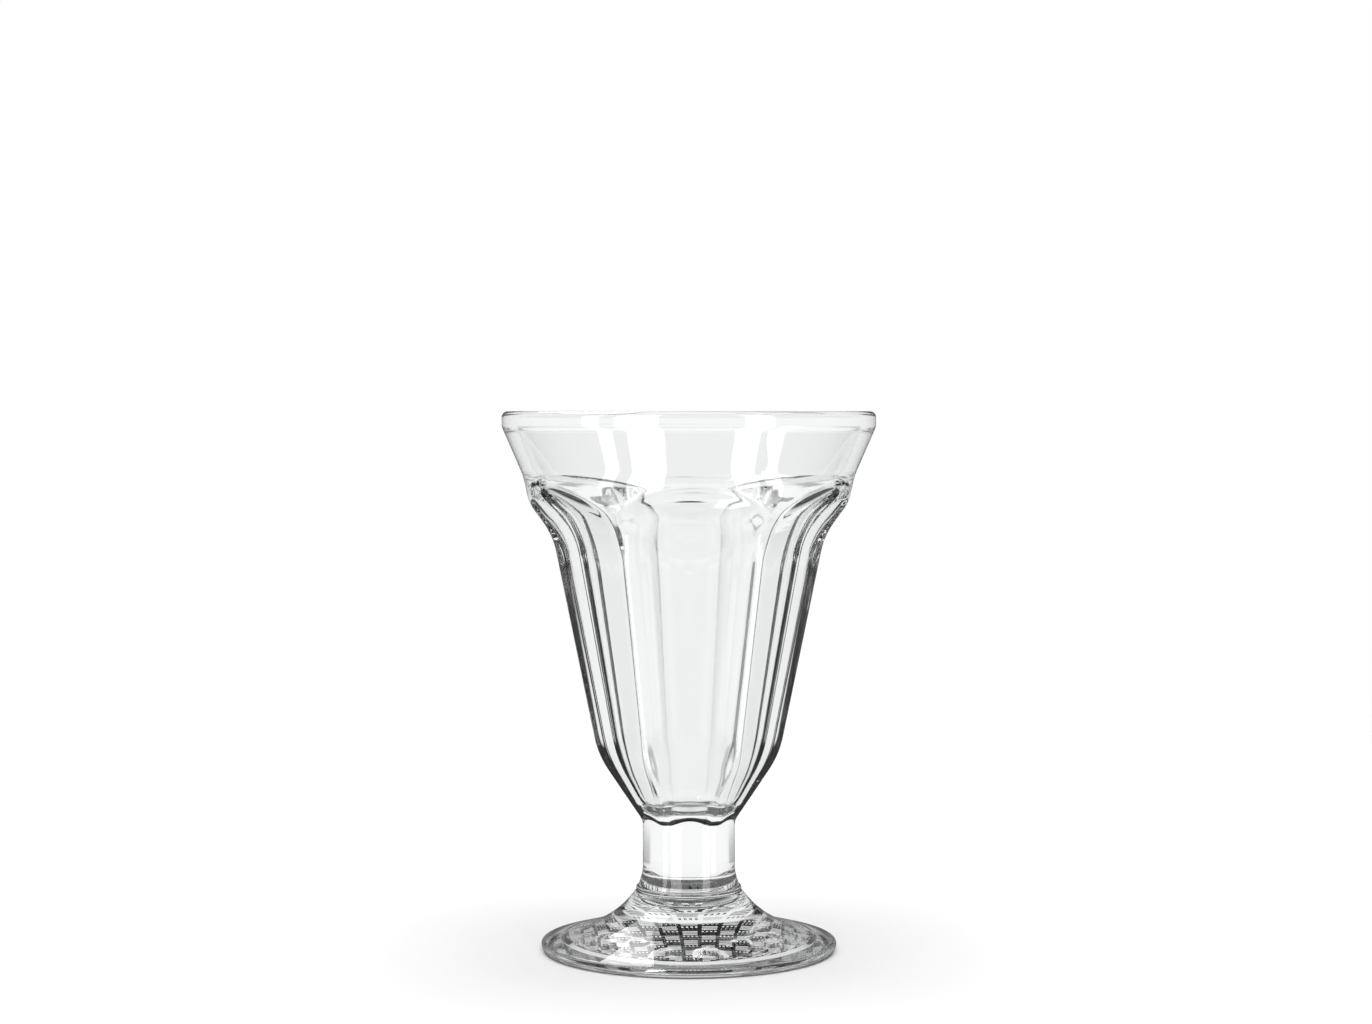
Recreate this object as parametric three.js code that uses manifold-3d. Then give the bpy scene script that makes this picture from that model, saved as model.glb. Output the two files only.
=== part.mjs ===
// A pressed soda fountain glass: a flared bowl with flat panels, a round stem, a thin joint ring
// and a coved foot, each fused to the next on a flat round seat.
// Millimetres, +Z up. The origin is the centre of the circle that the foot stands on.

import * as THREE from 'three';
import { mergeVertices } from 'three/addons/utils/BufferGeometryUtils.js';
import Module from 'manifold-3d';

// The whole glass. Its panelled body is as tall as the other heights leave it.
const GLASS_HEIGHT = 126;

// Foot: a coved disc with a round edge, standing on a ring round a shallow recess
const FOOT_HEIGHT = 14;
const FOOT_RADIUS = 34.5;
const FOOT_TOP_RADIUS = 12.4;
const FOOT_EDGE_HEIGHT = 2.3;
const FOOT_EDGE_ROUND = 0.7;
const FOOT_HEEL_ROUND = 1.6;
const COVE_CORNER_RADIUS = 17.9;
const COVE_CORNER_HEIGHT = 6.75;
const COVE_ROUND = 24;
const RECESS_RADIUS = 29;
const RECESS_DEPTH = 0.8;
const RECESS_SLOPE_WIDTH = 1;

// Joint ring: the thin bead where the stem meets the foot
const RING_HEIGHT = 1.2;
const RING_RADIUS = 12.3;
const RING_ROUND = 0.5;

// Stem: a solid round waist that flares a little where it meets the ring
const STEM_HEIGHT = 13.8;
const STEM_RADIUS = 10.8;
const STEM_BASE_RADIUS = 11.8;
const STEM_FLARE_RISE = 3;
const STEM_FLARE_ROUND = 9;

// Bowl outside: the radius of each corner of the round blank, and its rise above the one before
const KNUCKLE_RISE = 16.7;
const KNUCKLE_RADIUS = 21.2;
const KNUCKLE_ROUND = 22;
const WAIST_RADIUS = 31.65;
const WAIST_ROUND = 17;
const SHOULDER_RISE = 7.8;
const SHOULDER_RADIUS = 37.2;
const SHOULDER_ROUND = 9;
const NECK_RISE = 6.4;
const NECK_RADIUS = 38.6;
const NECK_ROUND = 14;
const FLARE_RISE = 11.3;
const RIM_RADIUS = 43.5;
const RIM_BAND_HEIGHT = 3.6;
const RIM_BAND_ROUND = 3;
const LIP_ROUND = 1.4;

// Bowl inside: smooth and round, following the outside at these walls
const RIM_WALL = 3.2;
const FLARE_WALL = 3.2;
const PANEL_WALL = 2.6;
const FLOOR_THICKNESS = 4.5;
const FLOOR_RADIUS = 9;
const FLOOR_ROUND = 7;
const INNER_NECK_DROP = 0.8;
const INNER_NECK_ROUND = 6;
const INNER_WAIST_LIFT = 2.3;
const INNER_KNUCKLE_LIFT = 2.3;

// Panels: flat faces pressed into the blank, arched at the top, with a narrow land left between them
const PANEL_COUNT = 6;
const RIDGE_LAND_WIDTH = 1.6;
const RIDGE_RUN_OUT_RISE = 1.4;
const PANEL_RUN_OUT_RISE = 2.6;
const SCOOP_ROUND = 25;
const SCOOP_TOP_RISE = 15.35;
const ROOT_RISE = 4;

// Fineness of the facets, and how far a cut reaches past what it cuts
const AROUND = 60;
const ARC_TOLERANCE = 0.04;
const CUT_OVERRUN = 2;

// Heights that the stack of pieces gives
const RING_Z = FOOT_HEIGHT;
const STEM_Z = RING_Z + RING_HEIGHT;
const BOWL_Z = STEM_Z + STEM_HEIGHT;
const KNUCKLE_Z = BOWL_Z + KNUCKLE_RISE;
const RIM_Z = GLASS_HEIGHT;
const RIM_BAND_Z = RIM_Z - RIM_BAND_HEIGHT;
const NECK_Z = RIM_BAND_Z - FLARE_RISE;
const SHOULDER_Z = NECK_Z - NECK_RISE;
const WAIST_Z = SHOULDER_Z - SHOULDER_RISE;

const wasm = await Module();
wasm.setup();

const corner = (radius, height, round = 0) => ({ at: new THREE.Vector2(radius, height), round });

// The distance from a corner to where its rounding starts, if nothing is in the way.
function roundingReach(before, here, after) {
  const back = before.at.clone().sub(here.at).normalize();
  const ahead = after.at.clone().sub(here.at).normalize();
  const halfAngle = Math.acos(THREE.MathUtils.clamp(back.dot(ahead), -1, 1)) / 2;
  return { back, ahead, halfAngle, reach: here.round / Math.tan(halfAngle) };
}

// A line through corners with their roundings drawn as arcs. Two roundings that meet share their leg.
function roundedLine(corners) {
  const inner = corners.slice(1, -1);
  const bends = inner.map((here, i) => roundingReach(corners[i], here, corners[i + 2]));
  const reaches = [0, ...bends.map((bend) => bend.reach), 0];
  const share = (i, j) => {
    const leg = corners[i].at.distanceTo(corners[j].at);
    return Math.min(1, leg / Math.max(reaches[i] + reaches[j], Number.EPSILON));
  };
  const points = [corners[0].at];
  inner.forEach((here, i) => {
    const { back, ahead, halfAngle } = bends[i];
    const reach = reaches[i + 1] * Math.min(share(i, i + 1), share(i + 1, i + 2));
    points.push(...arcAtCorner(here.at, back, ahead, halfAngle, reach));
  });
  points.push(corners.at(-1).at);
  return points;
}

// The arc that rounds one corner, or the corner itself where it is sharp.
function arcAtCorner(at, back, ahead, halfAngle, reach) {
  if (reach === 0) return [at];
  const radius = reach * Math.tan(halfAngle);
  const toCentre = back.clone().add(ahead).setLength(radius / Math.sin(halfAngle));
  const centre = at.clone().add(toCentre);
  const start = at.clone().addScaledVector(back, reach).sub(centre).angle();
  const turn = Math.PI - 2 * halfAngle;
  const clockwise = back.cross(ahead) > 0;
  const end = start + (clockwise ? -turn : turn);
  const step = 2 * Math.acos(Math.max(0, 1 - ARC_TOLERANCE / radius));
  const steps = Math.max(2, Math.ceil(turn / step));
  const arc = new THREE.EllipseCurve(centre.x, centre.y, radius, radius, start, end, clockwise);
  return arc.getPoints(steps);
}

// A solid of revolution about Z from an outline that starts and ends on the axis.
function turned(corners) {
  const geometry = new THREE.LatheGeometry(roundedLine(corners), AROUND);
  return geometry.rotateX(Math.PI / 2);
}

// A closed geometry as a solid for cutting and joining, without the facets that collapse on the axis.
function toSolid(geometry) {
  geometry.deleteAttribute('normal');
  geometry.deleteAttribute('uv');
  const welded = mergeVertices(geometry);
  const facets = [];
  for (let i = 0; i < welded.index.count; i += 3) {
    const facet = [0, 1, 2].map((k) => welded.index.getX(i + k));
    if (new Set(facet).size === facet.length) facets.push(...facet);
  }
  const vertProperties = welded.attributes.position.array;
  const triVerts = new Uint32Array(facets);
  return new wasm.Manifold(new wasm.Mesh({ numProp: 3, vertProperties, triVerts }));
}

function toGeometry(solid) {
  const { vertProperties, triVerts } = solid.getMesh();
  const geometry = new THREE.BufferGeometry();
  geometry.setAttribute('position', new THREE.BufferAttribute(vertProperties, 3));
  geometry.setIndex(new THREE.BufferAttribute(triVerts, 1));
  geometry.computeVertexNormals();
  return geometry;
}

// The distance from the axis to the middle of a panel where the blank has this radius.
function apothem(blankRadius) {
  const landHalfAngle = RIDGE_LAND_WIDTH / 2 / blankRadius;
  return blankRadius * Math.cos(Math.PI / PANEL_COUNT - landHalfAngle);
}

// The round blank of the bowl, hollow from the lip to the floor.
function bowlBlank() {
  const innerRim = RIM_RADIUS - RIM_WALL;
  const innerWaist = apothem(WAIST_RADIUS) - PANEL_WALL;
  const innerKnuckle = apothem(KNUCKLE_RADIUS) - PANEL_WALL;
  const floorZ = BOWL_Z + FLOOR_THICKNESS;
  return turned([
    corner(0, BOWL_Z),
    corner(STEM_RADIUS, BOWL_Z),
    corner(STEM_RADIUS, BOWL_Z + RIDGE_RUN_OUT_RISE),
    corner(KNUCKLE_RADIUS, KNUCKLE_Z, KNUCKLE_ROUND),
    corner(WAIST_RADIUS, WAIST_Z, WAIST_ROUND),
    corner(SHOULDER_RADIUS, SHOULDER_Z, SHOULDER_ROUND),
    corner(NECK_RADIUS, NECK_Z, NECK_ROUND),
    corner(RIM_RADIUS, RIM_BAND_Z, RIM_BAND_ROUND),
    corner(RIM_RADIUS, RIM_Z, LIP_ROUND),
    corner(innerRim, RIM_Z, LIP_ROUND),
    corner(innerRim, RIM_BAND_Z, RIM_BAND_ROUND),
    corner(NECK_RADIUS - FLARE_WALL, NECK_Z - INNER_NECK_DROP, INNER_NECK_ROUND),
    corner(innerWaist, WAIST_Z + INNER_WAIST_LIFT, WAIST_ROUND),
    corner(innerKnuckle, KNUCKLE_Z + INNER_KNUCKLE_LIFT, KNUCKLE_ROUND),
    corner(FLOOR_RADIUS, floorZ, FLOOR_ROUND),
    corner(0, floorZ),
  ]);
}

// What one panel takes off the blank: all that lies outside a face that is straight across,
// tapers with the body, and scoops outwards to end in an arch on the flare.
function panelCut(azimuth) {
  const low = apothem(KNUCKLE_RADIUS);
  const taper = (apothem(WAIST_RADIUS) - low) / (WAIST_Z - KNUCKLE_Z);
  const scoopTopZ = WAIST_Z + SCOOP_TOP_RISE;
  const runOutZ = BOWL_Z + PANEL_RUN_OUT_RISE;
  const runOutSlope = (low - STEM_RADIUS) / (KNUCKLE_Z - runOutZ);
  const startZ = BOWL_Z - CUT_OVERRUN;
  const outside = RIM_RADIUS + CUT_OVERRUN + SCOOP_ROUND;
  const outline = roundedLine([
    corner(outside, startZ),
    corner(STEM_RADIUS - runOutSlope * (runOutZ - startZ), startZ),
    corner(low, KNUCKLE_Z, KNUCKLE_ROUND),
    corner(low + taper * (scoopTopZ - KNUCKLE_Z), scoopTopZ, SCOOP_ROUND),
    corner(outside, scoopTopZ),
  ]);
  const geometry = new THREE.ExtrudeGeometry(new THREE.Shape(outline), {
    depth: 2 * RIM_RADIUS,
    bevelEnabled: false,
  });
  geometry.translate(0, 0, -RIM_RADIUS);
  return geometry.rotateX(Math.PI / 2).rotateZ(azimuth);
}

// The round root of the stem, which the panels run out on in a shallow wave.
function stemRoot() {
  return turned([
    corner(0, BOWL_Z),
    corner(STEM_RADIUS, BOWL_Z),
    corner(STEM_RADIUS, BOWL_Z + ROOT_RISE),
    corner(0, BOWL_Z + ROOT_RISE),
  ]);
}

function bowl() {
  let solid = toSolid(bowlBlank());
  for (let i = 0; i < PANEL_COUNT; i += 1) {
    const azimuth = (2 * Math.PI * i) / PANEL_COUNT - Math.PI / 2;
    solid = solid.subtract(toSolid(panelCut(azimuth)));
  }
  return toGeometry(solid.add(toSolid(stemRoot())));
}

function stem() {
  return turned([
    corner(0, STEM_Z),
    corner(STEM_BASE_RADIUS, STEM_Z),
    corner(STEM_RADIUS, STEM_Z + STEM_FLARE_RISE, STEM_FLARE_ROUND),
    corner(STEM_RADIUS, BOWL_Z),
    corner(0, BOWL_Z),
  ]);
}

function jointRing() {
  return turned([
    corner(0, RING_Z),
    corner(RING_RADIUS, RING_Z, RING_ROUND),
    corner(RING_RADIUS, STEM_Z, RING_ROUND),
    corner(0, STEM_Z),
  ]);
}

function foot() {
  return turned([
    corner(0, RECESS_DEPTH),
    corner(RECESS_RADIUS - RECESS_SLOPE_WIDTH, RECESS_DEPTH),
    corner(RECESS_RADIUS, 0),
    corner(FOOT_RADIUS, 0, FOOT_HEEL_ROUND),
    corner(FOOT_RADIUS, FOOT_EDGE_HEIGHT, FOOT_EDGE_ROUND),
    corner(COVE_CORNER_RADIUS, COVE_CORNER_HEIGHT, COVE_ROUND),
    corner(FOOT_TOP_RADIUS, RING_Z),
    corner(0, RING_Z),
  ]);
}

// Clear colourless glass with a fire-polished surface.
const clearGlass = () => new THREE.MeshStandardMaterial({
  color: '#e8eded',
  roughness: 0.04,
  metalness: 0,
  transparent: true,
  opacity: 0.35,
});

const glass = new THREE.Group();
glass.name = 'soda_fountain_glass';
for (const [name, shape] of Object.entries({ bowl, stem, joint_ring: jointRing, foot })) {
  const mesh = new THREE.Mesh(shape(), clearGlass());
  mesh.name = name;
  glass.add(mesh);
}

export default glass;
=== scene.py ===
"""Looks of a pressed soda fountain glass: bowl, stem, joint ring and foot in clear glass on a pale floor."""

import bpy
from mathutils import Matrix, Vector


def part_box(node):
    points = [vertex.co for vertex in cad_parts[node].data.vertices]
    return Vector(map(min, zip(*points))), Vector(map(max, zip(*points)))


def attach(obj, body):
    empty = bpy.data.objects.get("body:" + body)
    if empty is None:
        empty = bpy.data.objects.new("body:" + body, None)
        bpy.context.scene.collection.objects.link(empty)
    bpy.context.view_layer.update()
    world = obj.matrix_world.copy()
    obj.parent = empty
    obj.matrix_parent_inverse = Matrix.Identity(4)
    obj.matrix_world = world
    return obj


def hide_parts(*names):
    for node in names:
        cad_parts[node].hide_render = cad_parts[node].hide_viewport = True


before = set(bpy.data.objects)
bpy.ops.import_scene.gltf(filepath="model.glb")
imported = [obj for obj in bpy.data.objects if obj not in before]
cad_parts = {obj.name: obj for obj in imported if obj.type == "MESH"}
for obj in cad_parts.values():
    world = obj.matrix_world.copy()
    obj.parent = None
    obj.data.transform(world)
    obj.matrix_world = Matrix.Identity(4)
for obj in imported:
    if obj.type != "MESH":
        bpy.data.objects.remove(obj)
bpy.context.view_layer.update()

import math

import bpy
import numpy as np
from mathutils import Vector

bl_info = {
    "name": "Soda Fountain Glass",
    "version": (1, 0, 0),
    "blender": (4, 5, 0),
    "location": "View3D > Sidebar > Glass",
    "description": "Models a pressed soda fountain glass and the studio it is photographed in",
    "category": "Add Mesh",
}

MM = 0.001

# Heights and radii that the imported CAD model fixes
FOOT_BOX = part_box("foot")
RING_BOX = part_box("joint_ring")
STEM_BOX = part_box("stem")
BOWL_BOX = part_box("bowl")

# Six panels go round the bowl, and the middle of one faces the front
PANELS = 6
HALF_PANEL = math.pi / PANELS
COLUMNS = 288

# How far the columns of faces crowd towards the ridges, where the bowl turns sharply
COLUMN_CROWDING = 0.6


def length(name, description, millimetres):
    """A length property that is written in millimetres and kept in metres."""
    return bpy.props.FloatProperty(
        name=name,
        description=description,
        default=millimetres * MM,
        min=0.0,
        precision=5,
        unit="LENGTH",
        subtype="DISTANCE",
    )


def linear(hex_colour):
    """An sRGB hex colour as the linear RGBA that shaders take."""
    channels = [int(hex_colour[i:i + 2], 16) / 255 for i in (1, 3, 5)]
    return [c / 12.92 if c <= 0.04045 else ((c + 0.055) / 1.055) ** 2.4 for c in channels] + [1.0]


def colour(name, description, hex_colour):
    """A colour property that is written as an sRGB hex value."""
    return bpy.props.FloatVectorProperty(
        name=name,
        description=description,
        default=linear(hex_colour),
        size=4,
        min=0.0,
        max=1.0,
        subtype="COLOR",
    )


class FootSizes(bpy.types.PropertyGroup):
    """Sizes of the coved foot."""

    top_radius: length("Top radius", "Radius of the cove where it meets the joint ring", 12.4)
    top_round: length("Top round", "Rounding of the cove's upper edge", 0.25)
    edge_height: length("Edge height", "Height of the foot's upright edge", 2.3)
    edge_round: length("Edge round", "Rounding of the upper corner of the edge", 0.7)
    heel_round: length("Heel round", "Rounding of the lower corner of the edge", 1.6)
    cove_radius: length("Cove radius", "Distance of the cove's corner from the axis", 17.9)
    cove_height: length("Cove height", "Height of the cove's corner", 6.75)
    cove_round: length("Cove round", "Rounding of the cove's corner", 24.0)
    recess_radius: length("Recess radius", "Radius of the recess inside the bearing ring", 29.0)
    recess_depth: length("Recess depth", "Depth of the recess under the foot", 0.8)
    recess_slope: length("Recess slope", "Width of the slope at the edge of the recess", 1.0)


class WeaveSizes(bpy.types.PropertyGroup):
    """Sizes of the basket weave pressed into the underside of the foot."""

    cell: length("Cell", "Side of one square of the weave", 3.7)
    reach: length("Reach", "Radius that the weave covers", 27.4)
    bar_height: length("Bar height", "Height of a bar above the floor of the recess", 0.34)
    bar_slope: length("Bar slope", "Width of the slope along the side of a bar", 0.09)


class RingSizes(bpy.types.PropertyGroup):
    """Sizes of the thin bead between stem and foot."""

    rounding: length("Round", "Rounding of the bead's two corners", 0.5)


class StemSizes(bpy.types.PropertyGroup):
    """Sizes of the solid stem."""

    radius: length("Radius", "Radius of the straight part of the stem", 10.8)
    flare_rise: length("Flare rise", "Height of the flare at the bottom of the stem", 3.0)
    flare_round: length("Flare round", "Rounding where the flare starts", 9.0)


class BowlSizes(bpy.types.PropertyGroup):
    """Sizes of the round blank of the bowl, outside and inside."""

    root_height: length("Root height", "Height on the stem at which the ridges start", 30.4)
    knuckle_radius: length("Knuckle radius", "Radius at the corner above the stem", 21.2)
    knuckle_height: length("Knuckle height", "Height of the corner above the stem", 45.7)
    knuckle_round: length("Knuckle round", "Rounding of the corner above the stem", 22.0)
    waist_radius: length("Waist radius", "Radius where the body starts to flare", 31.65)
    waist_height: length("Waist height", "Height at which the body starts to flare", 96.9)
    waist_round: length("Waist round", "Rounding of the waist", 17.0)
    shoulder_radius: length("Shoulder radius", "Radius of the shoulder above the panels", 37.2)
    shoulder_height: length("Shoulder height", "Height of the shoulder", 104.7)
    shoulder_round: length("Shoulder round", "Rounding of the shoulder", 9.0)
    neck_radius: length("Neck radius", "Radius at which the rim's flare starts", 38.6)
    neck_height: length("Neck height", "Height at which the rim's flare starts", 111.1)
    neck_round: length("Neck round", "Rounding of the neck", 14.0)
    band_height: length("Rim band", "Height of the upright band under the lip", 3.6)
    band_round: length("Rim band round", "Rounding where the flare meets the band", 3.0)
    lip_round: length("Lip round", "Rounding of the lip's two corners", 1.4)
    rim_wall: length("Rim wall", "Wall thickness at the rim", 3.2)
    panel_wall: length("Panel wall", "Wall thickness in the middle of a panel", 2.6)
    inner_neck_drop: length("Inner neck drop", "How far the inner neck lies below the outer", 0.8)
    inner_neck_round: length("Inner neck round", "Rounding of the inner neck", 6.0)
    inner_lift: length("Inner lift", "How far the inner corners lie above the outer", 2.3)
    floor_thickness: length("Floor thickness", "Glass between the stem and the inside", 4.5)
    floor_radius: length("Floor radius", "Radius of the inside floor", 9.0)
    floor_round: length("Floor round", "Rounding of the inside floor's corner", 7.0)


class PanelSizes(bpy.types.PropertyGroup):
    """Sizes of the six panels pressed into the bowl."""

    ridge_width: length("Ridge width", "Width of the land left between two panels", 1.6)
    run_out_height: length("Run-out height", "Height at which a panel ends on the stem", 31.6)
    run_out_round: length("Run-out round", "Rounding where the panels meet the stem", 0.7)
    scoop_height: length("Scoop height", "Height of the ceiling of the scoop", 112.25)
    scoop_round: length("Scoop round", "Rounding of the scoop at the top of a panel", 25.0)
    scoop_crown: length("Scoop crown", "How much higher the scoop is in its middle than at its ends", 1.25)
    edge_round: length("Edge round", "Rounding of the edges of a panel along the ridges", 0.35)
    arch_round: length("Arch round", "Rounding of the arched edge over a panel", 0.9)
    arch_peak: length("Arch peak", "Height of an arch over the middle of its panel", 108.85)
    arch_foot: length("Arch foot", "Height of an arch's ends, on the ridges", 103.3)
    pressed_height: length("Pressed height", "Height above which the bowl is round again", 117.5)


class GlassFinish(bpy.types.PropertyGroup):
    """Finish of the pressed glass."""

    tint: colour("Tint", "Colour of the clear glass", "#FDFEFE")
    ripple: length("Ripple", "Length of the slow waves in the pressed surface", 9.0)
    ripple_height: length("Ripple height", "Height of the slow waves", 0.02)
    chill: length("Chill", "Length of the fine marks that a cool mould leaves", 1.6)
    chill_height: length("Chill height", "Height of the fine marks", 0.0015)


class StudioSettings(bpy.types.PropertyGroup):
    """Camera, lamps and floor."""

    lens: bpy.props.FloatProperty(
        name="Lens", description="Focal length of the camera", default=71.14, unit="CAMERA")
    distance: length("Distance", "Distance from the camera to the glass's axis", 631.8)
    height: length("Height", "Height of the camera above the table", 126.0)
    floor_radius: length("Floor radius", "Radius at which the floor has faded out", 600.0)
    floor_colour: colour("Floor colour", "Colour of the pale floor", "#F4F4F4")
    backdrop: colour("Backdrop", "Colour of the backdrop round the glass", "#FFFFFF")


class GlassSettings(bpy.types.PropertyGroup):
    """All settings of the glass and its studio."""

    foot: bpy.props.PointerProperty(type=FootSizes, name="Foot", description="Sizes of the foot")
    weave: bpy.props.PointerProperty(type=WeaveSizes, name="Weave", description="Sizes of the weave")
    ring: bpy.props.PointerProperty(type=RingSizes, name="Ring", description="Sizes of the ring")
    stem: bpy.props.PointerProperty(type=StemSizes, name="Stem", description="Sizes of the stem")
    bowl: bpy.props.PointerProperty(type=BowlSizes, name="Bowl", description="Sizes of the bowl")
    panels: bpy.props.PointerProperty(type=PanelSizes, name="Panels", description="Sizes of the panels")
    finish: bpy.props.PointerProperty(type=GlassFinish, name="Finish", description="Finish of the glass")
    studio: bpy.props.PointerProperty(type=StudioSettings, name="Studio", description="Camera and light")


# Outlines

def rounded_line(corners):
    """A line through (radius, height, rounding) corners. Two roundings that meet share their leg."""
    arc_step = math.radians(3)
    points = [np.array(corner[:2]) for corner in corners]
    bends = [None] * len(points)
    reaches = np.zeros(len(points))
    for i in range(1, len(points) - 1):
        back = (points[i - 1] - points[i]) / np.linalg.norm(points[i - 1] - points[i])
        ahead = (points[i + 1] - points[i]) / np.linalg.norm(points[i + 1] - points[i])
        half = math.acos(np.clip(back @ ahead, -1, 1)) / 2
        bends[i] = (back, ahead, half)
        reaches[i] = corners[i][2] / math.tan(half)
    line = [points[0]]
    for i in range(1, len(points) - 1):
        if reaches[i] == 0:
            line.append(points[i])
            continue
        back, ahead, half = bends[i]
        legs = [np.linalg.norm(points[i] - points[j]) / (reaches[i] + reaches[j]) for j in (i - 1, i + 1)]
        reach = reaches[i] * min(1, *legs)
        radius = reach * math.tan(half)
        middle = (back + ahead) / np.linalg.norm(back + ahead)
        centre = points[i] + middle * radius / math.sin(half)
        start = points[i] + back * reach - centre
        end = points[i] + ahead * reach - centre
        start_angle = math.atan2(start[1], start[0])
        turn = (math.atan2(end[1], end[0]) - start_angle + math.pi) % (2 * math.pi) - math.pi
        angles = np.linspace(start_angle, start_angle + turn, max(3, math.ceil(abs(turn) / arc_step) + 1))
        line.extend(centre + radius * np.column_stack([np.cos(angles), np.sin(angles)]))
    line.append(points[-1])
    return np.array(line)


def spaced_line(line, rows):
    """The same line with a point every so often. Rows pairs a height with the step to take there."""
    heights, steps = np.array(rows).T * MM
    legs = np.linalg.norm(np.diff(line, axis=0), axis=1)
    run = np.concatenate([[0], np.cumsum(legs)])
    stations = [0.0]
    while stations[-1] < run[-1]:
        height = np.interp(stations[-1], run, line[:, 1])
        stations.append(stations[-1] + np.interp(height, heights, steps))
    stations[-1] = run[-1]
    return np.column_stack([np.interp(stations, run, line[:, i]) for i in (0, 1)])


def radius_on(line, heights):
    """The radius of a line that only climbs, at these heights."""
    return np.interp(heights, line[:, 1], line[:, 0])


def smooth_min(a, b, width):
    """The smaller of two lengths, with the corner between them rounded over a width."""
    overlap = np.clip(width - np.abs(a - b), 0, None)
    return np.minimum(a, b) - overlap ** 2 / (4 * width)


def smooth_max(a, b, width):
    """The larger of two lengths, with the corner between them rounded over a width."""
    return -smooth_min(-a, -b, width)


# Modelling

def start_point(name, at):
    """A new mesh object at the origin, in edit mode, with one vertex at a place."""
    bpy.ops.object.select_all(action="DESELECT")
    bpy.ops.mesh.primitive_plane_add(size=2 * MM, enter_editmode=True)
    bpy.context.object.name = name
    bpy.context.object.data.name = name
    bpy.ops.mesh.select_all(action="SELECT")
    bpy.ops.mesh.merge(type="CENTER")
    bpy.ops.transform.translate(value=at)
    return bpy.context.object


def spin_line(name, line):
    """Draws a line in the XZ plane point by point, and spins it into a shell round the Z axis."""
    points = [Vector((radius, 0, height)) for radius, height in line]
    piece = start_point(name, points[0])
    for before, after in zip(points, points[1:]):
        bpy.ops.mesh.extrude_vertices_move(TRANSFORM_OT_translate={"value": after - before})
    bpy.ops.mesh.select_all(action="SELECT")
    bpy.ops.mesh.spin(steps=COLUMNS, angle=2 * math.pi, center=(0, 0, 0), axis=(0, 0, 1))
    bpy.ops.mesh.select_all(action="SELECT")
    bpy.ops.mesh.remove_doubles(threshold=0.001 * MM)
    bpy.ops.object.mode_set(mode="OBJECT")
    return piece


def finish_piece(piece, node, glass):
    """Closes the faces that are fused to a neighbour, and makes the piece stand for its CAD node."""
    piece.data.materials.append(glass)
    piece.data.materials.append(fused_face())
    bpy.context.view_layer.objects.active = piece
    bpy.ops.object.mode_set(mode="EDIT")
    bpy.ops.mesh.select_mode(type="FACE")
    bpy.ops.mesh.select_all(action="SELECT")
    bpy.ops.mesh.fill_holes(sides=0)
    bpy.ops.mesh.select_all(action="SELECT")
    bpy.ops.mesh.normals_make_consistent(inside=False)
    bpy.ops.mesh.faces_shade_smooth()
    bpy.ops.mesh.select_all(action="DESELECT")
    bpy.ops.object.mode_set(mode="OBJECT")
    bpy.ops.object.shade_smooth_by_angle(angle=math.radians(35))
    bpy.ops.object.mode_set(mode="EDIT")
    bpy.ops.mesh.select_face_by_sides(number=COLUMNS, type="EQUAL")
    piece.active_material_index = 1
    bpy.ops.object.material_slot_assign()
    bpy.ops.mesh.region_to_loop()
    bpy.ops.mesh.mark_sharp()
    bpy.ops.mesh.select_mode(type="VERT")
    bpy.ops.object.mode_set(mode="OBJECT")
    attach(piece, "root")
    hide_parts(node)


def edit_faces(piece, wanted):
    """Goes into edit mode with only the wanted faces selected."""
    mesh = piece.data
    bpy.context.tool_settings.mesh_select_mode = (False, False, True)
    mesh.vertices.foreach_set("select", np.zeros(len(mesh.vertices), bool))
    mesh.edges.foreach_set("select", np.zeros(len(mesh.edges), bool))
    mesh.polygons.foreach_set("select", wanted)
    bpy.ops.object.mode_set(mode="EDIT")


def edit_edges(piece, wanted):
    """Goes into edit mode with only the wanted edges selected."""
    mesh = piece.data
    bpy.context.tool_settings.mesh_select_mode = (False, True, False)
    mesh.vertices.foreach_set("select", np.zeros(len(mesh.vertices), bool))
    mesh.polygons.foreach_set("select", np.zeros(len(mesh.polygons), bool))
    mesh.edges.foreach_set("select", wanted)
    bpy.ops.object.mode_set(mode="EDIT")


def read_points(piece):
    """The places of a piece's vertices as an array."""
    points = np.zeros(len(piece.data.vertices) * 3, np.float32)
    piece.data.vertices.foreach_get("co", points)
    return points.reshape(-1, 3).astype(float)


def write_points(piece, points):
    """Moves a piece's vertices to these places."""
    piece.data.vertices.foreach_set("co", points.astype(np.float32).ravel())
    piece.data.update()


# Bowl

def bowl_outside(sizes, stem_radius):
    """The outside of the round blank, from the stem to the outer edge of the lip."""
    rim_height = BOWL_BOX[1].z
    rim_radius = BOWL_BOX[1].x
    return [
        (stem_radius, BOWL_BOX[0].z, 0),
        (stem_radius, sizes.root_height, 0),
        (sizes.knuckle_radius, sizes.knuckle_height, sizes.knuckle_round),
        (sizes.waist_radius, sizes.waist_height, sizes.waist_round),
        (sizes.shoulder_radius, sizes.shoulder_height, sizes.shoulder_round),
        (sizes.neck_radius, sizes.neck_height, sizes.neck_round),
        (rim_radius, rim_height - sizes.band_height, sizes.band_round),
        (rim_radius, rim_height, sizes.lip_round),
    ]


def apothem(blank_radius, ridge_width):
    """The distance from the axis to the middle of a panel where the blank has this radius."""
    return blank_radius * math.cos(HALF_PANEL - ridge_width / 2 / blank_radius)


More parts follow.
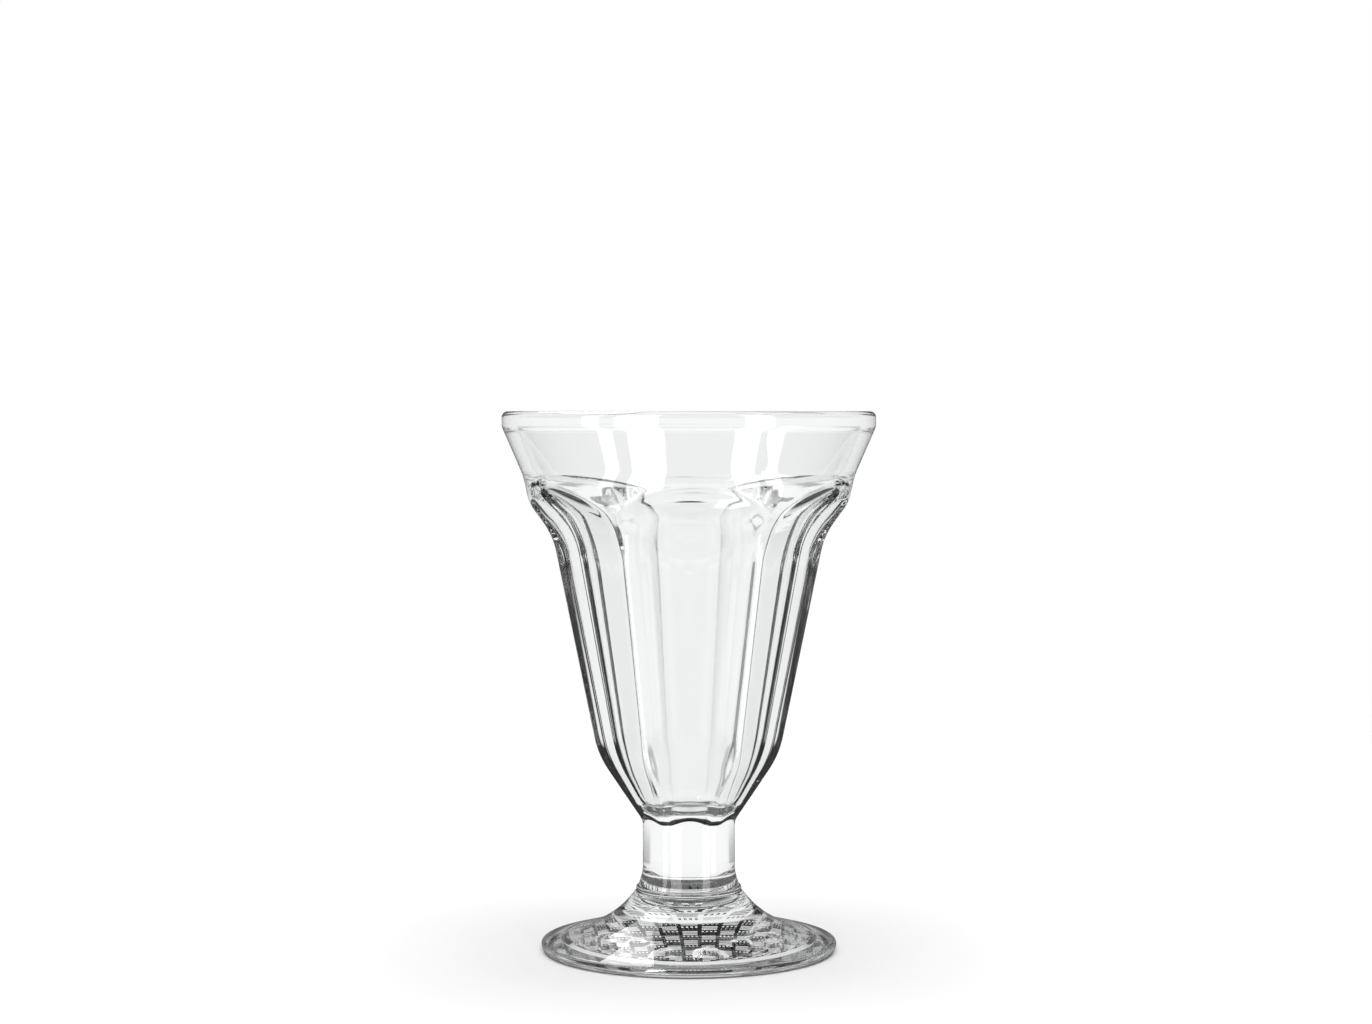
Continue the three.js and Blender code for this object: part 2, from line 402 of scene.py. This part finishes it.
def bowl_inside(sizes, panels):
    """The smooth round inside, from the inner edge of the lip to the middle of the floor."""
    rim_height = BOWL_BOX[1].z
    inner_rim = BOWL_BOX[1].x - sizes.rim_wall
    inner_waist = apothem(sizes.waist_radius, panels.ridge_width) - sizes.panel_wall
    inner_knuckle = apothem(sizes.knuckle_radius, panels.ridge_width) - sizes.panel_wall
    floor_height = BOWL_BOX[0].z + sizes.floor_thickness
    return [
        (inner_rim, rim_height, sizes.lip_round),
        (inner_rim, rim_height - sizes.band_height, sizes.band_round),
        (sizes.neck_radius - sizes.rim_wall, sizes.neck_height - sizes.inner_neck_drop,
         sizes.inner_neck_round),
        (inner_waist, sizes.waist_height + sizes.inner_lift, sizes.waist_round),
        (inner_knuckle, sizes.knuckle_height + sizes.inner_lift, sizes.knuckle_round),
        (sizes.floor_radius, floor_height, sizes.floor_round),
        (0, floor_height, 0),
    ]


def pressed_lines(sizes, panels, stem_radius):
    """The lines up a ridge of the bowl and up the middle of a panel. Both run on down into the stem."""
    low = apothem(sizes.knuckle_radius, panels.ridge_width)
    high = apothem(sizes.waist_radius, panels.ridge_width)
    taper = (high - low) / (sizes.waist_height - sizes.knuckle_height)
    ridge_slope = (sizes.knuckle_radius - stem_radius) / (sizes.knuckle_height - sizes.root_height)
    panel_slope = (low - stem_radius) / (sizes.knuckle_height - panels.run_out_height)
    base = STEM_BOX[0].z
    ridge = rounded_line([
        (stem_radius - ridge_slope * (sizes.root_height - base), base, 0),
        *bowl_outside(sizes, stem_radius)[2:],
        (0, BOWL_BOX[1].z, 0),
    ])
    middle = rounded_line([
        (stem_radius - panel_slope * (panels.run_out_height - base), base, 0),
        (low, sizes.knuckle_height, sizes.knuckle_round),
        (low + taper * (panels.scoop_height - sizes.knuckle_height), panels.scoop_height, panels.scoop_round),
        (BOWL_BOX[1].x + panels.scoop_round, panels.scoop_height, 0),
    ])
    return ridge[:np.argmax(ridge[:, 1]) + 1], middle


def press_panels(piece, settings):
    """Presses the six panels into the outside of a round piece.

    The modelling tools have no cut that leaves even rows of faces along an arched, rounded edge, which
    clear glass needs, so the rows are laid along the edges and each vertex is moved to the pressed face.
    """
    sizes = settings.bowl
    panels = settings.panels
    stem_radius = settings.stem.radius
    ridge, middle = pressed_lines(sizes, panels, stem_radius)
    inside = rounded_line([(0, BOWL_BOX[1].z, 0)] + bowl_inside(sizes, panels))[:1:-1]

    points = read_points(piece)
    radius = np.hypot(points[:, 0], points[:, 1])
    height = points[:, 2]
    azimuth = np.arctan2(points[:, 0], -points[:, 1])
    azimuth = azimuth + COLUMN_CROWDING / PANELS * np.sin(PANELS * azimuth)
    across = (azimuth + HALF_PANEL) % (2 * HALF_PANEL) - HALF_PANEL

    # Rows of faces sink towards the ridges, to follow the arches and the wave on the stem
    to_ridge = (np.sin(across) / math.sin(HALF_PANEL)) ** 2
    arch_drop = panels.arch_peak - panels.arch_foot
    arch_heights = [
        panels.arch_foot - 2 * arch_drop, panels.arch_foot, panels.arch_peak, panels.pressed_height]
    wave_drop = panels.run_out_height - sizes.root_height
    wave_heights = panels.run_out_height + np.array([-3, 0, 6]) * wave_drop
    sunk = height - to_ridge * arch_drop * np.interp(height, arch_heights, [0, 1, 1, 0])
    sunk = sunk - to_ridge * wave_drop * np.interp(height, wave_heights, [0, 1, 0])

    # A panel is straight across, and its scoop is crowned. The blank stays as a narrow land between two.
    crown = panels.scoop_crown * (0.5 - to_ridge) * np.interp(sunk, arch_heights[:2], [0, 1])
    face = radius_on(middle, sunk - crown) / np.cos(across)
    under = np.where(height > BOWL_BOX[0].z, stem_radius, radius)
    edge_round = np.interp(sunk, arch_heights[:2], [panels.edge_round, panels.arch_round])
    pressed = smooth_min(face, radius_on(ridge, sunk), edge_round)
    pressed = smooth_max(pressed, under, panels.run_out_round)

    outer = radius > (radius_on(ridge, height) + radius_on(inside, height)) / 2
    body = outer & (height < panels.pressed_height)
    new_radius = np.where(body, pressed, radius)
    new_height = np.where(body, sunk, height)
    write_points(piece, np.column_stack([
        new_radius * np.sin(azimuth),
        -new_radius * np.cos(azimuth),
        new_height,
    ]))


class GLASS_OT_bowl(bpy.types.Operator):
    """Model the bowl: a hollow round blank with six arched panels pressed into its outside"""

    bl_idname = "fountain_glass.bowl"
    bl_label = "Bowl"

    def execute(self, context):
        settings = context.scene.fountain_glass
        sizes = settings.bowl
        panels = settings.panels
        outline = bowl_outside(sizes, settings.stem.radius) + bowl_inside(sizes, panels)
        rows = [(29, 0.3), (33, 0.3), (36, 1.2), (96, 1.2), (99, 0.36), (111, 0.36), (114, 0.8), (121, 0.4),
                (122, 0.25)]
        piece = spin_line("bowl_pressed_glass", spaced_line(rounded_line(outline), rows))
        press_panels(piece, settings)
        finish_piece(piece, "bowl", pressed_glass(settings))
        return {"FINISHED"}


# Stem and joint ring

class GLASS_OT_stem(bpy.types.Operator):
    """Model the solid stem, which flares a little towards the joint ring"""

    bl_idname = "fountain_glass.stem"
    bl_label = "Stem"

    def execute(self, context):
        settings = context.scene.fountain_glass
        sizes = settings.stem
        base = STEM_BOX[0].z
        outline = [
            (STEM_BOX[1].x, base, 0),
            (sizes.radius, base + sizes.flare_rise, sizes.flare_round),
            (sizes.radius, STEM_BOX[1].z, 0),
        ]
        rows = [(15, 0.25), (20, 0.4), (29, 0.4)]
        piece = spin_line("stem_pressed_glass", spaced_line(rounded_line(outline), rows))
        press_panels(piece, settings)
        finish_piece(piece, "stem", pressed_glass(settings))
        return {"FINISHED"}


class GLASS_OT_joint_ring(bpy.types.Operator):
    """Model the joint ring: the thin rounded bead between stem and foot"""

    bl_idname = "fountain_glass.joint_ring"
    bl_label = "Joint ring"

    def execute(self, context):
        settings = context.scene.fountain_glass
        rounding = settings.ring.rounding
        low, high = RING_BOX
        outline = [
            (high.x - rounding, low.z, 0),
            (high.x, low.z, rounding),
            (high.x, high.z, rounding),
            (high.x - rounding, high.z, 0),
        ]
        rows = [(14, 0.08), (16, 0.08)]
        piece = spin_line("joint_ring_pressed_glass", spaced_line(rounded_line(outline), rows))
        finish_piece(piece, "joint_ring", pressed_glass(settings))
        return {"FINISHED"}


# Foot

def weave_patch(sizes, height):
    """A flat patch of basket weave facing down: squares of bars that lie along X and Y in turn."""
    bars_per_cell = 4
    steps_per_cell = 2 * bars_per_cell + 1
    step = sizes.cell / steps_per_cell
    cells = 2 * math.ceil(sizes.reach / sizes.cell) + 1
    steps = cells * steps_per_cell
    bpy.ops.object.select_all(action="DESELECT")
    bpy.ops.mesh.primitive_grid_add(
        x_subdivisions=steps, y_subdivisions=steps, size=steps * step, location=(0, 0, height))
    patch = bpy.context.object
    bpy.ops.object.transform_apply(location=True)

    centres = np.zeros(len(patch.data.polygons) * 3, np.float32)
    patch.data.polygons.foreach_get("center", centres)
    centres = centres.reshape(-1, 3)[:, :2]
    place = np.floor(centres / step + steps / 2).astype(int)
    cell_x, cell_y = (place // steps_per_cell).T
    in_x, in_y = (place % steps_per_cell).T
    # Cells alternate like a chequerboard, and the one on the axis has its bars along X
    along_x = (cell_x + cell_y - (cells - 1)) % 2 == 0
    lengthways = np.where(along_x, in_x, in_y)
    crossways = np.where(along_x, in_y, in_x)
    last = steps_per_cell - 1
    bar = (crossways % 2 == 1) & (lengthways > 0) & (lengthways < last)
    beyond = np.hypot(*centres.T) > sizes.reach

    edit_faces(patch, beyond)
    bpy.ops.mesh.delete(type="FACE")
    bpy.ops.mesh.select_all(action="SELECT")
    bpy.ops.mesh.flip_normals()
    bpy.ops.object.mode_set(mode="OBJECT")
    edit_faces(patch, bar[~beyond])
    bpy.ops.mesh.inset(thickness=sizes.bar_slope, depth=sizes.bar_height * 0.75)
    bpy.ops.mesh.inset(thickness=sizes.bar_slope / 2, depth=sizes.bar_height * 0.25)
    bpy.ops.object.mode_set(mode="OBJECT")
    return patch


def join_patch(piece, patch):
    """Joins the patch to the shell round it, and fills the flat gap between their edges."""
    bpy.ops.object.select_all(action="DESELECT")
    patch.select_set(True)
    piece.select_set(True)
    bpy.context.view_layer.objects.active = piece
    height = patch.data.vertices[0].co.z
    bpy.ops.object.join()
    points = read_points(piece)
    level = np.abs(points[:, 2] - height) < 0.01 * MM
    bpy.ops.object.mode_set(mode="EDIT")
    bpy.ops.mesh.select_mode(type="EDGE")
    bpy.ops.mesh.select_all(action="DESELECT")
    bpy.ops.mesh.select_non_manifold()
    bpy.ops.object.mode_set(mode="OBJECT")
    pairs = np.zeros(len(piece.data.edges) * 2, np.int32)
    piece.data.edges.foreach_get("vertices", pairs)
    open_edge = np.zeros(len(piece.data.edges), bool)
    piece.data.edges.foreach_get("select", open_edge)
    flat_edge = level[pairs.reshape(-1, 2)].all(axis=1)
    edit_edges(piece, open_edge & flat_edge)
    bpy.ops.mesh.fill(use_beauty=True)
    bpy.ops.object.mode_set(mode="OBJECT")


class GLASS_OT_foot(bpy.types.Operator):
    """Model the foot: a coved disc on a bearing ring, with a basket weave under it"""

    bl_idname = "fountain_glass.foot"
    bl_label = "Foot"

    def execute(self, context):
        settings = context.scene.fountain_glass
        sizes = settings.foot
        edge = FOOT_BOX[1].x
        top = FOOT_BOX[1].z
        ring_seat = RING_BOX[1].x - settings.ring.rounding
        outline = [
            (sizes.recess_radius - sizes.recess_slope, sizes.recess_depth, 0),
            (sizes.recess_radius, 0, sizes.recess_slope / 2),
            (edge, 0, sizes.heel_round),
            (edge, sizes.edge_height, sizes.edge_round),
            (sizes.cove_radius, sizes.cove_height, sizes.cove_round),
            (sizes.top_radius, top, sizes.top_round),
            (ring_seat, top, 0),
        ]
        rows = [(0, 0.25), (0.1, 0.16), (3.2, 0.16), (3.6, 0.3), (13, 0.3), (13.5, 0.08), (14, 0.08)]
        piece = spin_line("foot_pressed_glass", spaced_line(rounded_line(outline), rows))
        join_patch(piece, weave_patch(settings.weave, sizes.recess_depth))
        finish_piece(piece, "foot", pressed_glass(settings))
        return {"FINISHED"}


# Materials

def new_material(name):
    """An empty node material and its tree."""
    material = bpy.data.materials.new(name)
    material.use_nodes = True
    material.node_tree.nodes.clear()
    return material, material.node_tree


def add_node(tree, kind, links=None, **settings):
    """Adds a node. Links maps its inputs to outputs or values, and settings are its own properties."""
    node = tree.nodes.new(kind)
    for name, value in settings.items():
        setattr(node, name, value)
    for name, value in (links or {}).items():
        if isinstance(value, bpy.types.NodeSocket):
            tree.links.new(value, node.inputs[name])
        else:
            node.inputs[name].default_value = value
    return node


def pressed_glass(settings):
    """Soda-lime glass, pressed in an iron mould and fire polished.

    It is clear and bright. Slow waves left by the mould bend the lines seen through it a little, and the
    ring that it stands on is scuffed dull by tables.
    """
    name = "pressed_soda_lime_glass"
    if name in bpy.data.materials:
        return bpy.data.materials[name]
    finish = settings.finish
    material, tree = new_material(name)
    place = add_node(tree, "ShaderNodeTexCoord").outputs["Object"]
    ripple = add_node(tree, "ShaderNodeTexNoise", {
        "Vector": place, "Scale": 1 / finish.ripple, "Detail": 1.0})
    chill = add_node(tree, "ShaderNodeTexNoise", {"Vector": place, "Scale": 1 / finish.chill, "Detail": 2.0})
    slow = add_node(tree, "ShaderNodeBump", {
        "Height": ripple.outputs["Fac"], "Distance": finish.ripple_height, "Strength": 1.0})
    fine = add_node(tree, "ShaderNodeBump", {
        "Height": chill.outputs["Fac"], "Distance": finish.chill_height, "Strength": 1.0,
        "Normal": slow.outputs["Normal"]})
    polish = add_node(tree, "ShaderNodeMapRange", {
        "Value": ripple.outputs["Fac"], "From Min": 0.3, "From Max": 0.7, "To Min": 0.0, "To Max": 0.012})
    height = add_node(tree, "ShaderNodeSeparateXYZ", {"Vector": place}).outputs["Z"]
    on_table = add_node(tree, "ShaderNodeMapRange", {
        "Value": height, "From Min": 0.05 * MM, "From Max": 0.3 * MM, "To Min": 0.15, "To Max": 0.0})
    scuffs = add_node(tree, "ShaderNodeTexNoise", {"Vector": place, "Scale": 1 / (0.8 * MM), "Detail": 3.0})
    scuffed = add_node(tree, "ShaderNodeMath", {
        0: on_table.outputs["Result"], 1: scuffs.outputs["Fac"]}, operation="MULTIPLY")
    roughness = add_node(tree, "ShaderNodeMath", {
        0: polish.outputs["Result"], 1: scuffed.outputs["Value"]}, operation="ADD")
    shader = add_node(tree, "ShaderNodeBsdfPrincipled", {
        "Base Color": finish.tint,
        "Roughness": roughness.outputs["Value"],
        "IOR": 1.52,
        "Transmission Weight": 1.0,
        "Normal": fine.outputs["Normal"],
    })
    add_node(tree, "ShaderNodeOutputMaterial", {"Surface": shader.outputs["BSDF"]})
    return material


def fused_face():
    """The face where two pieces were fused while hot. No boundary is left, so it doesn't show."""
    name = "fused_glass_face"
    if name in bpy.data.materials:
        return bpy.data.materials[name]
    material, tree = new_material(name)
    shader = add_node(tree, "ShaderNodeBsdfPrincipled", {"Alpha": 0.0})
    add_node(tree, "ShaderNodeOutputMaterial", {"Surface": shader.outputs["BSDF"]})
    return material


def smooth_step(tree, value, start, end, top=1.0):
    """Rises softly from 0 at the start to the top at the end. The end may be the smaller number."""
    step = add_node(tree, "ShaderNodeMapRange", {
        "Value": value, "From Min": start, "From Max": end, "To Max": top}, interpolation_type="SMOOTHSTEP")
    return step.outputs["Result"]


def combine(tree, operation, first, second, **options):
    """The result of one math operation on two values."""
    node = add_node(tree, "ShaderNodeMath", {0: first, 1: second}, operation=operation, **options)
    return node.outputs["Value"]


def floor_glow_with_painted_shade(tree, place, distance):
    """How bright the floor glows when it is seen through the glass: an even sheet with painted shade.

    A painted shadow lies under the ring that the foot stands on, and painted shade lies behind the stem's
    axis and in a strip to the left and right of the foot. The painted zones stand in for what the glass sees
    and are set for the front view.
    """
    sheet = 0.9
    # A painted shadow darkens the floor's glow under the ring that the foot stands on
    painted_ring_shadow = 0.15
    reach = 40 * MM
    near = combine(tree, "DIVIDE", distance, reach)
    level = add_node(tree, "ShaderNodeValToRGB", {"Fac": near})
    level.color_ramp.elements[0].color = (sheet, sheet, sheet, 1)
    for at, shade in ((30, sheet), (32, painted_ring_shadow), (36, painted_ring_shadow)):
        level.color_ramp.elements.new(at * MM / reach).color = (shade, shade, shade, 1)

    # Painted shade on the floor's glow behind the stem's axis
    across = add_node(tree, "ShaderNodeSeparateXYZ", {"Vector": place})
    behind = smooth_step(tree, across.outputs["Y"], 4 * MM, 8 * MM)
    under_stem = smooth_step(tree, distance, 22 * MM, 20 * MM, top=0.75)
    painted_shade_behind_stem = combine(tree, "MULTIPLY", behind, under_stem)

    # Painted shade in a strip on the floor's glow to the left and right of the foot, in place of dark
    # surroundings
    sideways = combine(tree, "DIVIDE", across.outputs["X"], distance)
    sideways = add_node(tree, "ShaderNodeMath", {0: sideways}, operation="ABSOLUTE").outputs["Value"]
    unlit = smooth_step(tree, sideways, 0.66, 0.76, top=0.45)
    beside = smooth_step(tree, distance, 200 * MM, 130 * MM)
    beyond = smooth_step(tree, distance, 70 * MM, 100 * MM)
    strip = combine(tree, "MULTIPLY", beside, beyond)
    painted_side_shade = combine(tree, "MULTIPLY", unlit, strip)

    # The painted shade and the painted shadow are taken off the even sheet
    dark = combine(tree, "ADD", painted_side_shade, painted_shade_behind_stem)
    return combine(tree, "SUBTRACT", level.outputs["Color"], dark, use_clamp=True)


def floor_paper(studio):
    """Matt white paper with a faint tooth, which fades into the white backdrop. Seen through the glass it
    glows, with painted shade.
    """
    material, tree = new_material("white_paper_floor")
    place = add_node(tree, "ShaderNodeTexCoord").outputs["Object"]
    tooth = add_node(tree, "ShaderNodeTexNoise", {"Vector": place, "Scale": 1 / (0.6 * MM), "Detail": 2.0})
    bump = add_node(tree, "ShaderNodeBump", {"Height": tooth.outputs["Fac"], "Distance": 0.02 * MM})
    paper = add_node(tree, "ShaderNodeBsdfDiffuse", {
        "Color": studio.floor_colour, "Normal": bump.outputs["Normal"]})
    clear = add_node(tree, "ShaderNodeBsdfTransparent")
    distance = add_node(tree, "ShaderNodeVectorMath", {0: place}, operation="LENGTH").outputs["Value"]
    fade = smooth_step(tree, distance, studio.floor_radius / 2, studio.floor_radius)
    mixed = add_node(tree, "ShaderNodeMixShader", {
        0: fade, 1: paper.outputs["BSDF"], 2: clear.outputs["BSDF"]})
    # Seen through the glass, the paper glows evenly, with the painted shade and the painted shadow in it
    paper_glow_with_painted_shade = add_node(tree, "ShaderNodeEmission", {
        "Color": studio.backdrop, "Strength": floor_glow_with_painted_shade(tree, place, distance)})
    path = add_node(tree, "ShaderNodeLightPath")
    seen = add_node(tree, "ShaderNodeMixShader", {
        0: path.outputs["Is Transmission Ray"], 1: mixed.outputs["Shader"], 2: paper_glow_with_painted_shade.outputs["Emission"]})
    add_node(tree, "ShaderNodeOutputMaterial", {"Surface": seen.outputs["Shader"]})
    return material


# Studio

def round_the_glass(angle, distance, height):
    """A place round the glass. The angle runs from the front, where the camera is, to the right."""
    return Vector((distance * math.sin(angle), -distance * math.cos(angle), height))


def add_floor(studio):
    """A round sheet of paper just under the glass, which mirror-like reflections don't see."""
    gap = 0.02 * MM
    bpy.ops.object.select_all(action="DESELECT")
    bpy.ops.mesh.primitive_circle_add(
        vertices=96, radius=studio.floor_radius, fill_type="NGON", location=(0, 0, -gap))
    floor = bpy.context.object
    floor.name = "floor"
    bpy.ops.object.transform_apply(location=True)
    floor.data.materials.append(floor_paper(studio))
    floor.visible_glossy = False


def add_softbox(name, place, aim, width, height, radiance):
    """A rectangular lamp that shines from a place towards a point. Radiance 1 is as bright as white paper."""
    lamp = bpy.data.lights.new(name, "AREA")
    lamp.shape = "RECTANGLE"
    lamp.size = width
    lamp.size_y = height
    lamp.energy = radiance * math.pi * width * height
    softbox = bpy.data.objects.new(name, lamp)
    softbox.location = place
    softbox.rotation_euler = (aim - place).to_track_quat("-Z", "Y").to_euler()
    softbox.visible_camera = False
    bpy.context.collection.objects.link(softbox)
    return softbox


def show_on_near_face(softbox):
    """Light that shows only to rays that haven't passed into the glass."""
    softbox.data.use_nodes = True
    tree = softbox.data.node_tree
    tree.nodes.clear()
    path = add_node(tree, "ShaderNodeLightPath")
    outside = add_node(tree, "ShaderNodeMath", {
        0: path.outputs["Transmission Depth"], 1: 0.5}, operation="LESS_THAN")
    light = add_node(tree, "ShaderNodeEmission", {"Strength": outside.outputs["Value"]})
    add_node(tree, "ShaderNodeOutputLight", {"Surface": light.outputs["Emission"]})


def add_lamps():
    """A broad lamp overhead for the floor, and softboxes that only the glass's reflections show."""
    softbox_radiance = 4.0
    overhead = add_softbox("overhead", Vector((0, 0, 1.3)), Vector((0, 0, 0)), 2.2, 2.2, 2.6)
    overhead.visible_glossy = False
    overhead.visible_transmission = False

    # Tall softboxes in front leave upright bands on the rim's flare and light up the ridges
    away = 0.9
    bands = []
    for name, degrees, middle, width, height in (
            ("left", -33.1, -0.1, 0.439, 2.4), ("far_left", -62.4, -0.1, 0.176, 2.4),
            ("right", 40.9, -0.1, 0.3, 2.4), ("far_right", 61.8, -0.355, 0.21, 0.6)):
        place = round_the_glass(math.radians(degrees), away, middle)
        aim = Vector((0, 0, middle))
        bands.append(add_softbox(f"softbox_{name}", place, aim, width, height, softbox_radiance))

    # A flat softbox behind on the left leaves a pale wedge on the foot
    place = Vector((-0.4, 0.7, 1.0))
    wedge = add_softbox("softbox_wedge", place, place - Vector((0, 0, 1)), 0.55, 1.5, softbox_radiance)
    wedge.rotation_euler.rotate_axis("Z", math.radians(-15))
    for softbox in (*bands, wedge):
        softbox.visible_transmission = False
        softbox.visible_diffuse = False
    for softbox in bands:
        show_on_near_face(softbox)


def add_backdrop(studio):
    """White up to a little above the horizon, and a dark room over it. The camera sees only white."""
    world = bpy.data.worlds.new("white_backdrop")
    bpy.context.scene.world = world
    world.use_nodes = True
    tree = world.node_tree
    tree.nodes.clear()
    direction = add_node(tree, "ShaderNodeTexCoord").outputs["Generated"]
    upward = add_node(tree, "ShaderNodeSeparateXYZ", {"Vector": direction}).outputs["Z"]
    low = math.sin(math.radians(8))
    high = math.sin(math.radians(12))
    dark_room = 0.02
    lit = add_node(tree, "ShaderNodeMapRange", {
        "Value": upward, "From Min": low, "From Max": high, "To Min": 1.0, "To Max": dark_room},
        interpolation_type="SMOOTHSTEP")
    path = add_node(tree, "ShaderNodeLightPath")
    bounced = add_node(tree, "ShaderNodeMath", {
        0: path.outputs["Is Glossy Ray"], 1: path.outputs["Is Transmission Ray"]}, operation="SUBTRACT",
        use_clamp=True)
    mirrored = add_node(tree, "ShaderNodeMapRange", {
        "Value": bounced.outputs["Value"], "To Min": 1.0, "To Max": 0.12})
    strength = add_node(tree, "ShaderNodeMath", {
        0: lit.outputs["Result"], 1: mirrored.outputs["Result"]}, operation="MULTIPLY")
    seen = add_node(tree, "ShaderNodeMath", {
        0: strength.outputs["Value"], 1: path.outputs["Is Camera Ray"]}, operation="MAXIMUM")
    light = add_node(tree, "ShaderNodeBackground", {
        "Color": studio.backdrop, "Strength": seen.outputs["Value"]})
    add_node(tree, "ShaderNodeOutputWorld", {"Surface": light.outputs["Background"]})


def add_camera(studio):
    """The camera at the photograph's place: level with the rim, a little left, looking slightly down."""
    turned = math.radians(-1.8)
    down = math.radians(2.13)
    aside = math.radians(0.06)
    camera = bpy.data.cameras.new("camera")
    camera.lens = studio.lens
    camera.sensor_width = 36.0
    camera.clip_start = 0.01
    view = bpy.data.objects.new("camera", camera)
    view.location = round_the_glass(turned, studio.distance, studio.height)
    view.rotation_euler = (math.pi / 2 - down, 0, turned + aside)
    bpy.context.collection.objects.link(view)
    bpy.context.scene.camera = view


class GLASS_OT_studio(bpy.types.Operator):
    """Set up the floor, softboxes, white backdrop and camera"""

    bl_idname = "fountain_glass.studio"
    bl_label = "Studio"

    def execute(self, context):
        studio = context.scene.fountain_glass.studio
        add_floor(studio)
        add_lamps()
        add_backdrop(studio)
        add_camera(studio)
        scene = context.scene
        scene.view_settings.view_transform = "Standard"
        scene.cycles.max_bounces = 24
        scene.cycles.transmission_bounces = 24
        scene.cycles.glossy_bounces = 12
        scene.cycles.transparent_max_bounces = 24
        return {"FINISHED"}


class GLASS_PT_pieces(bpy.types.Panel):
    """Lists the glass's pieces and its studio in the sidebar"""

    bl_idname = "GLASS_PT_pieces"
    bl_label = "Soda Fountain Glass"
    bl_space_type = "VIEW_3D"
    bl_region_type = "UI"
    bl_category = "Glass"

    def draw(self, context):
        for operator in OPERATORS:
            self.layout.operator(operator.bl_idname)


OPERATORS = (GLASS_OT_foot, GLASS_OT_joint_ring, GLASS_OT_stem, GLASS_OT_bowl, GLASS_OT_studio)
GROUPS = (FootSizes, WeaveSizes, RingSizes, StemSizes, BowlSizes, PanelSizes, GlassFinish, StudioSettings,
          GlassSettings)


def register():
    for group in (*GROUPS, *OPERATORS, GLASS_PT_pieces):
        bpy.utils.register_class(group)
    bpy.types.Scene.fountain_glass = bpy.props.PointerProperty(
        type=GlassSettings, name="Soda fountain glass", description="Settings of the glass")


def unregister():
    del bpy.types.Scene.fountain_glass
    for group in reversed((*GROUPS, *OPERATORS, GLASS_PT_pieces)):
        bpy.utils.unregister_class(group)


def main():
    register()
    bpy.ops.fountain_glass.foot()
    bpy.ops.fountain_glass.joint_ring()
    bpy.ops.fountain_glass.stem()
    bpy.ops.fountain_glass.bowl()
    bpy.ops.fountain_glass.studio()


if __name__ == "__main__":
    main()
